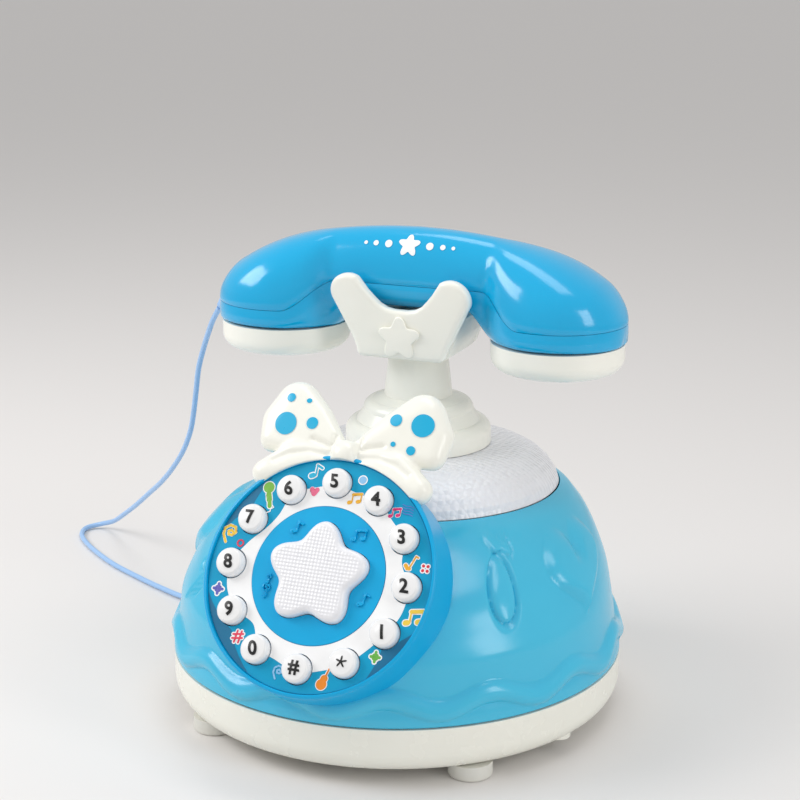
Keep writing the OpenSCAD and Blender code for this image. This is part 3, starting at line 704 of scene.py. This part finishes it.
# %% [markdown]
# Printed marks are thin skins of paint. Each is a fan of triangles round its middle, laid on the piece
# under it: a ray is sent from every point of the mark to find the surface, and the point is set a
# tenth of a millimetre over it.

# %% Helpers for printed marks
def fan(name, outline, height=0.0):
    """A flat closed outline on the dial's axes, as a fan of triangles."""
    bpy.ops.object.select_all(action="DESELECT")
    bpy.ops.mesh.primitive_circle_add(vertices=len(outline), radius=1, fill_type="TRIFAN")
    made = bpy.context.active_object
    made.name = made.data.name = name
    outline = np.array(outline, float)
    flat = np.vstack([outline, outline.mean(0)]) if len(made.data.vertices) > len(outline) else outline
    spot = on_dial(flat[:, 0], flat[:, 1], height)
    write_points(made, np.stack([spot[0], spot[1] + AXIS_Y, spot[2]], 1) * MM)
    return made


def disc_grid(name, x, up, radius, out=6.0):
    """A round mark with rings of points inside it, so that it can follow a curved surface."""
    def rule(u, v):
        turn = 2 * math.pi * u
        return on_dial(x + radius * v * np.cos(turn), up + radius * v * np.sin(turn), out)

    return wrapped_grid(name, 36, 6, rule, 0.000002)


def lay_on(piece, targets, direction, lift_mm=0.1, start_mm=12):
    """Every point of the piece goes along direction to the first surface it meets."""
    direction = Vector(direction)
    for vertex in piece.data.vertices:
        begin = vertex.co - direction * start_mm * MM
        hits = [target.ray_cast(begin, direction) for target in targets]
        hits = [hit for hit in hits if hit[0]]
        if hits:
            nearest = min(hits, key=lambda hit: (hit[1] - begin).length)
            vertex.co = nearest[1] - direction * lift_mm * MM


def paint(name, code, gloss=0.3):
    """Pad-printed ink: flat colour with a faintly mottled thickness."""
    material, tree, shader, place = new_finish(name)
    shade = clouded_colour(tree, place, code, code, 2)
    mottled = add_node(tree, "ShaderNodeTexNoise", {"Scale": 1000 / 0.8, "Detail": 2.0}, {"Vector": place})
    level = add_node(tree, "ShaderNodeMapRange", {"To Min": gloss * 0.8, "To Max": gloss * 1.25},
                     {"Value": mottled.outputs[0]})
    tree.links.new(shade, shader.inputs["Base Color"])
    tree.links.new(level.outputs[0], shader.inputs["Roughness"])
    return material


into_dial = tuple(-DIAL_OUT)
INK_BLUE = paint("ink_bow_blue", "#16b0dc")
INK_WHITE = paint("ink_white", "#fafafa")
INK_BLACK = paint("ink_black", "#161616", 0.35)
print("inks:", INK_BLUE.name, INK_WHITE.name, INK_BLACK.name)

# %% Dots on the bow
BOW_DOTS = [(-24.2, 51.5, 4.05), (-14.2, 52.5, 2.15), (-24.1, 60.9, 1.6), (-17.4, 60.6, 0.9),
            (26.1, 55.9, 4.05), (16.2, 56.8, 2.2), (23.5, 46.8, 1.6), (16.8, 48.3, 0.9)]
dots = []
for x, up, radius in BOW_DOTS:
    dot = disc_grid("dot", x, up, radius)
    lay_on(dot, [bow], into_dial, 0.12)
    dots.append(dot)
dots = joined("bow_dots", *dots)
apply_modifier(dots, "SOLIDIFY", thickness=0.1 * MM, offset=1)
smooth_shade(dots, 40)
finish_piece(dots, "base", "trim_white", INK_BLUE)

# %% [markdown]
# The handset's front carries a plain star between two rows of dots, printed in white. It rides the
# handset, and is laid on it along a line that comes down from the front.

# %% Star and dots on the handset
MOTIF_HEIGHT, MOTIF_Y = 185.6, -0.4
MOTIF_INWARD, MOTIF_DOWN = 0.62, 0.78
into_handset = Vector((0, MOTIF_INWARD, -MOTIF_DOWN)).normalized()


def printed_spot(name, x, edge_of):
    def rule(u, v):
        turn = 2 * math.pi * u
        reach = edge_of(turn) * v
        rise = reach * np.cos(turn)
        return x - reach * np.sin(turn), MOTIF_Y + MOTIF_DOWN * rise, MOTIF_HEIGHT + MOTIF_INWARD * rise

    spot = wrapped_grid(name, 60, 8, rule, 0.000002)
    lay_on(spot, [upper], into_handset, 0.12, 2)
    return spot


motif = [printed_spot("star", 0, lambda a: 3.4 + 0.9 * np.cos(5 * a))]
motif += [printed_spot("dot", side * x, lambda a, r=r: r + 0 * a) for side in (-1, 1) for x,
          r in ((8, 1.4), (13, 1.0), (17, 0.7))]
motif = joined("handset_print", *motif)
apply_modifier(motif, "SOLIDIFY", thickness=0.1 * MM, offset=1)
smooth_shade(motif, 40)
finish_piece(motif, "handset", "deep_blue", INK_WHITE)

# %% [markdown]
# The dial's face is a printed film: bright blue, a white collar with a scalloped edge round the hub,
# and a few darker corners. The collar runs out to about the middles of the buttons. It stops short of
# each button's hole, which a cutter with twelve posts takes out.

# %% Dial film
HUB_R, BUTTON_RING, BUTTON_HOLE_R, FILM_R = 24.2, 32.3, 5.35, 40.2
COLLAR_EDGE = [(0, 31.6), (15, 30.8), (30, 32.0), (45, 31.2), (60, 31.8), (75, 29.8), (90, 32.6),
               (105, 33.4), (120, 32.4),
               (135, 32.0), (150, 32.6), (165, 32.6), (180, 33.2), (195, 31.6), (210, 31.2), (225, 27.6),
               (240, 31.0), (255, 33.2),
               (270, 32.6), (285, 29.4), (300, 26.6), (315, 26.9), (330, 30.8), (345, 31.0), (360, 31.6)]


def button_cutter():
    posts = []
    for k in range(12):
        turn = math.radians(90 - 30 * k)
        bpy.ops.object.select_all(action="DESELECT")
        bpy.ops.mesh.primitive_cylinder_add(vertices=48, radius=1, depth=1)
        post = bpy.context.active_object
        unit = read_points(post)
        spot = on_dial(BUTTON_RING * math.cos(turn) + BUTTON_HOLE_R * unit[:, 0],
                       BUTTON_RING * math.sin(turn) + BUTTON_HOLE_R * unit[:, 1], 6 * unit[:, 2])
        write_points(post, np.stack([spot[0], spot[1] + AXIS_Y, spot[2]], 1) * MM)
        posts.append(post)
    return joined("button_cutter", *posts)


def cut_buttons(piece):
    cutter = button_cutter()
    apply_modifier(piece, "BOOLEAN", operation="DIFFERENCE", object=cutter, solver="EXACT")
    bpy.data.objects.remove(cutter)


def band(name, inner, outer, start_deg, end_deg, low, high, columns):
    """A thin ring sector between two edges that may vary with the clock angle."""
    def rule(u, v):
        clock = start_deg + (end_deg - start_deg) * u
        turn = np.radians(90 - clock)
        inner_r, outer_r = inner(clock), outer(clock)
        around = v * 4
        r = np.where(around < 1, inner_r + (outer_r - inner_r) * around, np.where(around < 2, outer_r,
                     np.where(around < 3, outer_r + (inner_r - outer_r) * (around - 2), inner_r)))
        out = np.where(around < 1, low, np.where(around < 2, low + (high - low) * (around - 1),
                       np.where(around < 3, high, high + (low - high) * (around - 3))))
        return on_dial(r * np.cos(turn), r * np.sin(turn), out)

    return wrapped_grid(name, columns, 4, rule, 0.000002)


def collar_edge(clock):
    degrees, radii = zip(*COLLAR_EDGE)
    return eased(np.asarray(clock) % 360, np.array(degrees, float), np.array(radii))


def close_ends(piece):
    select_only(piece)
    bpy.ops.object.mode_set(mode="EDIT")
    bpy.ops.mesh.select_all(action="DESELECT")
    bpy.ops.mesh.select_non_manifold()
    bpy.ops.mesh.fill_holes(sides=8)
    bpy.ops.mesh.select_all(action="SELECT")
    bpy.ops.mesh.normals_make_consistent(inside=False)
    bpy.ops.object.mode_set(mode="OBJECT")


FILM_WHITE = paint("film_white_print", "#fbfbfb", 0.22)
FILM_DARK = paint("film_dark_blue_print", "#007099", 0.3)
white_collar = band("film_white_collar", lambda c: HUB_R + 0 * c, collar_edge, 0, 360, -0.05, 0.06, 240)
cut_buttons(white_collar)
finish_piece(white_collar, "base", "label_film", FILM_WHITE)
corners = []
for start, end, deepest in ((286, 322, 36.2), (206, 254, 35.4), (112, 142, 35.2)):
    middle, half = (start + end) / 2, (end - start) / 2
    corner = band("corner", lambda c: FILM_R - 0.2 - (FILM_R - deepest) * (1 - np.abs(c - middle) / half),
                  lambda c: FILM_R - 0.1 + 0 * c, start, end, -0.05, 0.05, 24)
    close_ends(corner)
    cut_buttons(corner)
    corners.append(corner)
corners = joined("film_dark_corners", *corners)
finish_piece(corners, "base", "label_film", FILM_DARK)

# %% [markdown]
# The stickers between the buttons are small, bright and generic: notes, a heart, stars, a guitar, a
# microphone and a few curls, each with a white edge. All are built from rounded strokes. A stroke is
# drawn twice: a wider white one, and the coloured one just over it.

# %% Stickers
def stroke(x0, up0, x1, up1, radius, height):
    turn = math.atan2(up1 - up0, x1 - x0)
    outline = [(x1 + radius * math.cos(turn + a),
                up1 + radius * math.sin(turn + a)) for a in np.linspace(-math.pi / 2, math.pi / 2, 9)]
    outline += [(x0 + radius * math.cos(turn + a),
                 up0 + radius * math.sin(turn + a)) for a in np.linspace(math.pi / 2, 3 * math.pi / 2, 9)]
    return fan("stroke", outline, height)


def poly_stroke(points, radius):
    return [(*a, *b, radius) for a, b in zip(points, points[1:])]


SINGLE_NOTE = [(-1.0, -1.2, -0.5, -1.0, 0.62), (0.15, -1.0, 0.15, 1.6, 0.2), (0.15, 1.6, 1.5, 1.0, 0.28)]
BEAMED_NOTES = [(-1.5, -1.2, -1.1, -1.1, 0.55), (1.0, -0.7, 1.4, -0.6, 0.55), (-0.65, -1.1, -0.65, 1.2, 0.2),
                (1.85, -0.6, 1.85, 1.6, 0.2), (-0.65, 1.2, 1.85, 1.6, 0.4)]
HEART_MARK = [(-0.75, 0.5, 0, -0.7, 0.72), (0.75, 0.5, 0, -0.7, 0.72)]
CURL = poly_stroke([(0.7, 0.3), (0.2, 0.75), (-0.45, 0.45), (-0.3, -0.25), (0.5, -0.3), (1.25, 0.35),
                    (0.95, 1.45), (-0.3, 1.75),
                    (-1.35, 1.0), (-1.45, -0.3), (-0.6, -1.9)], 0.26)
SHARP = [(-0.6, -1.4, -0.2, 1.4, 0.24), (0.5, -1.4, 0.9, 1.4, 0.24), (-1.3, -0.55, 1.3, -0.2, 0.24),
         (-1.2, 0.45, 1.4, 0.8, 0.24)]
FOUR_POINTS = [(-1.3, 0, 1.3, 0, 0.42), (0, -1.4, 0, 1.4, 0.42), (-0.45, -0.45, 0.45, 0.45, 0.5),
               (-0.45, 0.45, 0.45, -0.45, 0.5)]
PETALS = [(-0.75, -0.75, -0.7, -0.7, 0.48), (0.75, -0.75, 0.7, -0.7, 0.48), (-0.75, 0.75, -0.7, 0.7, 0.48),
          (0.75, 0.75, 0.7, 0.7, 0.48)]
GUITAR = [(0, -1.6, 0.05, -1.55, 1.25), (0.4, -0.3, 0.45, -0.2, 0.85), (0.6, 0.2, 1.5, 3.1, 0.2),
          (1.5, 3.1, 1.65, 3.5, 0.36)]
MICROPHONE = [(0, 1.5, 0.02, 1.5, 1.25), (0.35, 0.2, 1.1, -2.6, 0.45), (0.3, 0.0, 0.7, -1.2, 0.6)]
SQUIGGLE = poly_stroke([(0, 1.2), (0.5, 0.7), (-0.2, 0.2), (-0.2, -0.4), (-0.9, -0.7), (-1.3, -1.3)], 0.13)
RING = poly_stroke([(0.9 * math.cos(a), 0.9 * math.sin(a)) for a in np.linspace(0, 2 * math.pi, 13)], 0.24)
CLEF = poly_stroke([(0.3, -0.3), (-0.3, -0.1), (-0.2, 0.5), (0.5, 0.5), (0.8, -0.2), (0.3, -0.9),
                    (-0.6, -0.8), (-1.0, 0.1),
                    (0.1, 1.4), (0.5, 2.3), (0.1, 2.9), (-0.2, 2.2), (0.3, -1.9), (-0.2, -2.5),
                    (-0.6, -2.1)], 0.15)
SAX = poly_stroke([(1.7, 1.9), (1.0, 2.2), (0.7, 1.4), (0.0, -0.4), (-0.5, -1.4)],
                  0.22) + [(-1.5, -0.6, -0.9, -1.3, 0.55), (-0.9, -1.4, -0.3, -1.4, 0.5)]
CURVED_STAFF = [s for k in range(4) for s in poly_stroke([(-0.4 + 0.1 * k, 1.9 - 0.75 * k),
                                                          (0.8, 1.5 - 0.75 * k), (1.9, 1.6 - 0.75 * k),
                                                          (3.0, 1.2 - 0.75 * k)], 0.11)]
STICKERS = [("#24b4d8", SINGLE_NOTE, -9.0, 35.6, 1.15, 0.4), ("#ee6f92", HEART_MARK, -8.0, 28.6, 1.0, 0.12),
            ("#8fc4ec", [(0, 0, 0.02, 0, 1.1)], 8.7, 34.6, 1.0, 0.4),
            ("#f2b52e", BEAMED_NOTES, 7.2, 27.7, 1.0, 0.12),
            ("#e0317c", BEAMED_NOTES, 22.5, 24.6, 0.85, 0.16),
            ("#5f7fd0", CURVED_STAFF, 25.3, 25.6, 1.0, 0.0),
            ("#f3b12c", SAX, 32.0, 8.2, 1.0, 0.3), ("#dd3a48", PETALS, 37.2, 7.3, 0.9, 0.4),
            ("#f4cf4a", BEAMED_NOTES, 36.6, -9.6, 1.35, 0.35),
            ("#6cb84a", FOUR_POINTS, 26.2, -24.2, 0.95, 0.45),
            ("#ee8a22", GUITAR, 9.4, -33.6, 1.2, 0.28), ("#8cc7f0", CURL, -6.6, -34.2, 1.0, 0.0),
            ("#ea4560", SHARP, -24.2, -24.6, 1.15, 0.4), ("#6460b8", FOUR_POINTS, -35.3, -9.4, 1.0, 0.5),
            ("#f3c83c", CURL, -35.6, 10.2, 1.35, 0.12), ("#e23a5c", RING, -30.9, 7.3, 1.0, 0.0),
            ("#7dbb45", MICROPHONE, -25.0, 25.6, 1.3, 0.35), ("#fafafa", SQUIGGLE, -22.4, 20.2, 1.2, 0.0)]
STICKER_SIZE = 1.22
for number, (code, strokes, x, up, scale, edge) in enumerate(STICKERS):
    layers = []
    size = scale * STICKER_SIZE
    if edge:
        whites = [stroke(x + a * size, up + b * size, x + c * size, up + d * size, r * size + edge,
                         0.09 + 0.002 * i)
                  for i, (a, b, c, d, r) in enumerate(strokes)]
        whites = joined("whites", *whites)
        whites.data.materials.append(INK_WHITE)
        layers.append(whites)
    colours = [stroke(x + a * size, up + b * size, x + c * size, up + d * size, r * size, 0.15 + 0.002 * i)
               for i, (a, b, c, d, r) in enumerate(strokes)]
    colours = joined("colours", *colours)
    ink = paint(f"ink_sticker_{number}", code, 0.3)
    colours.data.materials.append(ink)
    layers.append(colours)
    sticker = joined(f"sticker_{number}", *layers)
    apply_modifier(sticker, "SOLIDIFY", thickness=0.05 * MM, offset=-1)
    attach(sticker, "base")
print(len(STICKERS), "stickers")

# %% [markdown]
# The hub carries four small raised marks, moulded in the same blue: two notes, a pair of notes and a
# curl. They are the same strokes as the stickers, thick enough to catch the light.

# %% Raised marks on the hub
HUB_MARKS = [(SINGLE_NOTE, -11.2, 15.4, 1.35), (BEAMED_NOTES, 11.6, 15.2, 1.35),
             (SINGLE_NOTE, 18.0, -6.2, 1.35), (CLEF, -17.4, -6.4, 1.55)]
marks = []
for strokes, x, up, size in HUB_MARKS:
    for a, b, c, d, r in strokes:
        marks.append(stroke(x + a * size, up + b * size, x + c * size, up + d * size, r * size, 0.75))
marks = joined("hub_marks", *marks)
apply_modifier(marks, "SOLIDIFY", thickness=0.7 * MM, offset=-1)
apply_modifier(marks, "REMESH", mode="VOXEL", voxel_size=0.12 * MM)
apply_modifier(marks, "SMOOTH", factor=0.5, iterations=3)
smooth_shade(marks, 60)
finish_piece(marks, "base", "deep_blue", DIAL_BLUE)

# %% [markdown]
# The star in the middle is a translucent lens over three lamps, with a fine grid of dimples under a
# smooth skin. Its top is a low dome over a soft five-pointed outline, so a polar grid is pushed up by
# a rule. The dimples are 1.8 mm apart, pressed in as real geometry on the flat of the lens.

# %% Star lens
STAR_R, STAR_SWING, STAR_TOP = 15.9, 2.5, 4.3


def star_rule(u, v):
    turn = 2 * math.pi * u
    edge = STAR_R + STAR_SWING * np.cos(5 * turn)
    top, side = np.clip(v / 0.86, 0, 1), np.clip((v - 0.86) / 0.14, 0, 1)
    r = edge * np.minimum(top, 1)
    shoulder = np.clip((edge - r) / 2.6, 0, 1)
    out = STAR_TOP - 2.3 * (1 - np.sqrt(np.clip(1 - (1 - shoulder)**2, 0, 1))) - 0.25 * (r / STAR_R)**2
    out = np.where(side > 0, out - side * 5.6, out)
    x, up = -r * np.sin(turn), r * np.cos(turn)
    dimple = np.cos(2 * math.pi * (x + up) / 2.5) * np.cos(2 * math.pi * (x - up) / 2.5)
    out = out + 0.15 * dimple * smooth_step((edge - r - 1.6) / 1.2) * (side == 0)
    return on_dial(x, up, out)


star = wrapped_grid("star_lens_moulding", 400, 78, star_rule, 0.000004)
smooth_shade(star, 60)
STAR_LENS, star_tree, star_shader, star_place = new_finish("polycarbonate_star_lens_frosted")
star_tree.links.new(clouded_colour(star_tree, star_place, "#f3f3f5", "#e9e9ee", 3),
                    star_shader.inputs["Base Color"])
star_shader.inputs["Roughness"].default_value = 0.3
star_shader.inputs["IOR"].default_value = 1.58
star_shader.inputs["Subsurface Weight"].default_value = 0.25
star_shader.inputs["Subsurface Radius"].default_value = (0.003, 0.003, 0.003)
finish_piece(star, "star", "star_lens", STAR_LENS, replaces=["star_button"])

# %% [markdown]
# The push buttons keep their CAD shape. Their numbers are heavy black prints, made from Blender's own
# text, turned into a mesh and laid on each button's dome. Each rides with its button.

# %% Numbers on the buttons
BUTTONS = [("5", "5"), ("4", "4"), ("3", "3"), ("2", "2"), ("1", "1"), ("star", "*"), ("hash", "#"),
           ("0", "0"), ("9", "9"),
           ("8", "8"), ("7", "7"), ("6", "6")]
GLYPH_HEIGHT = 4.7
GLYPH_LEAN = 0.2
CAPITAL_HEIGHT = 0.72
for k, (key, glyph) in enumerate(BUTTONS):
    if glyph == "*":
        continue
    bpy.ops.object.select_all(action="DESELECT")
    bpy.ops.object.text_add()
    text = bpy.context.active_object
    text.data.body = glyph
    text.data.offset = 0.03
    text.data.resolution_u = 6
    bpy.ops.object.convert(target="MESH")
    text = bpy.context.active_object
    text.name = text.data.name = f"print_{key}"
    flat = read_points(text)
    middle = (flat.max(0) + flat.min(0)) / 2
    flat = (flat - middle) * GLYPH_HEIGHT / CAPITAL_HEIGHT
    flat[:, 0] -= GLYPH_LEAN * flat[:, 1]
    turn = math.radians(90 - 30 * k)
    spot = on_dial(BUTTON_RING * math.cos(turn) + flat[:, 0], BUTTON_RING * math.sin(turn) + flat[:, 1], 8.0)
    write_points(text, np.stack([spot[0], spot[1] + AXIS_Y, spot[2]], 1) * MM)
    tidy_mesh(text, 0.000001)
    select_only(text)
    bpy.ops.object.mode_set(mode="EDIT")
    bpy.ops.mesh.select_all(action="SELECT")
    bpy.ops.mesh.quads_convert_to_tris()
    bpy.ops.mesh.subdivide(number_cuts=3)
    bpy.ops.object.mode_set(mode="OBJECT")
    lay_on(text, [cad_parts[f"button_{key}"]], into_dial, 0.16)
    finish_piece(text, f"key_{key}", "button_white", INK_BLACK)


def asterisk_rule(u, v):
    turn = 2 * math.pi * u
    reach = (0.6 + 1.5 * (0.5 + 0.5 * np.cos(5 * turn))**2) * v
    middle = math.radians(90 - 30 * [key for key, _ in BUTTONS].index("star"))
    return on_dial(BUTTON_RING * math.cos(middle) - reach * np.sin(turn),
                   BUTTON_RING * math.sin(middle) + reach * np.cos(turn), 8.0)


asterisk = wrapped_grid("print_star", 80, 8, asterisk_rule, 0.000002)
lay_on(asterisk, [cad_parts["button_star"]], into_dial, 0.12)
finish_piece(asterisk, "key_star", "button_white", INK_BLACK)

# %% [markdown]
# The lamp dome is clear polycarbonate moulded against a pebbled tool, so it looks like frosted knit:
# rows of small pillows about 2 mm long, with a smooth, plain patch low down beside the dial. Cells
# from a Voronoi pattern, drawn out a little along the slope, give the pillows.

# %% Lamp dome
DOME_LENS, dome_tree, dome_shader, dome_place = new_finish("polycarbonate_dome_pebbled")
dome_tree.links.new(clouded_colour(dome_tree, dome_place, "#f3f3f6", "#eaeaef", 4),
                    dome_shader.inputs["Base Color"])
stretch = add_node(dome_tree, "ShaderNodeMapping", {"Scale": (1.0, 1.0, 0.7)}, {"Vector": dome_place})
pebbles = add_node(dome_tree, "ShaderNodeTexVoronoi",
                   {"Scale": 1000 / 2.3, "Randomness": 0.35, "feature": "F1"},
                   {"Vector": stretch.outputs[0]})
pebble_bump = add_node(dome_tree, "ShaderNodeBump", {"Strength": 0.9, "Distance": 0.5 * MM, "invert": True},
                       {"Height": pebbles.outputs["Distance"]})
dome_tree.links.new(pebble_bump.outputs[0], dome_shader.inputs["Normal"])
dome_shader.inputs["Roughness"].default_value = 0.26
dome_shader.inputs["IOR"].default_value = 1.58
dome_shader.inputs["Subsurface Weight"].default_value = 0.2
dome_shader.inputs["Subsurface Radius"].default_value = (0.003, 0.003, 0.003)
print("dome finish with pebbles 2.3 mm apart")

# %% [markdown]
# The rest keeps its CAD shape and gets its finish: the tray and its feet, the bezel, the film, the
# collar and neck under the cradle, the handset's caps, and the small hidden pieces.

# %% Finishes for the CAD pieces
FILM_BLUE = paint("film_blue_print", "#00a0cc", 0.3)
FILM_BLUE.node_tree.nodes["Principled BSDF"].inputs["Specular IOR Level"].default_value = 0.3
STEEL, steel_tree, steel_shader, steel_place = new_finish("steel_zinc_plated")
steel_tree.links.new(clouded_colour(steel_tree, steel_place, "#b9bcc2", "#a9acb2", 1.5),
                     steel_shader.inputs["Base Color"])
steel_shader.inputs["Metallic"].default_value = 1.0
steel_shader.inputs["Roughness"].default_value = 0.35
BOARD = moulded("FR4_green_solder_mask", "#1f6b3c", "#257544", 0.3)
DARK = moulded("ABS_black_matt", "#2b2d31", "#33353a", 0.5)
MAT = moulded("silicone_keypad_mat", "#c3c6cc", "#babdc4", 0.55)
CELL = moulded("battery_can_print", "#2f343c", "#3a4049", 0.3)
LED = moulded("epoxy_lamp_clear", "#eeeeee", "#f6f6f6", 0.1)
CAD_FINISHES = {
    TRAY_ABS: ["base_tray", "battery_door"], FOOT_RUBBER: ["feet"], DIAL_BLUE: ["dial_bezel", "dial_back"],
    FILM_BLUE: ["dial_label"], BUTTON_ABS: [f"button_{key}" for key, _ in BUTTONS], DOME_LENS: ["lamp_dome"],
    WHITE_ABS: ["collar", "neck_post", "ear_cap", "mouth_cap"], CORD_PVC: ["handset_grommet", "tray_grommet"],
    STEEL: ["dial_screws", "stack_screw", "cradle_screws", "handset_screws", "board_screws", "door_screw",
            "case_screws",
            "battery_contacts"],
    BOARD: ["keypad_board", "lamp_board", "main_board"],
    DARK: ["earpiece_speaker", "speaker", "switch_body", "switch_knob"],
    MAT: ["keypad_mat"], CELL: ["battery_cells"], LED: ["star_leds", "lamp_leds"],
}
for finish, names in CAD_FINISHES.items():
    for name in names:
        for slot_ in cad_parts[name].material_slots:
            slot_.material = finish
print(sum(len(names) for names in CAD_FINISHES.values()), "CAD pieces finished")
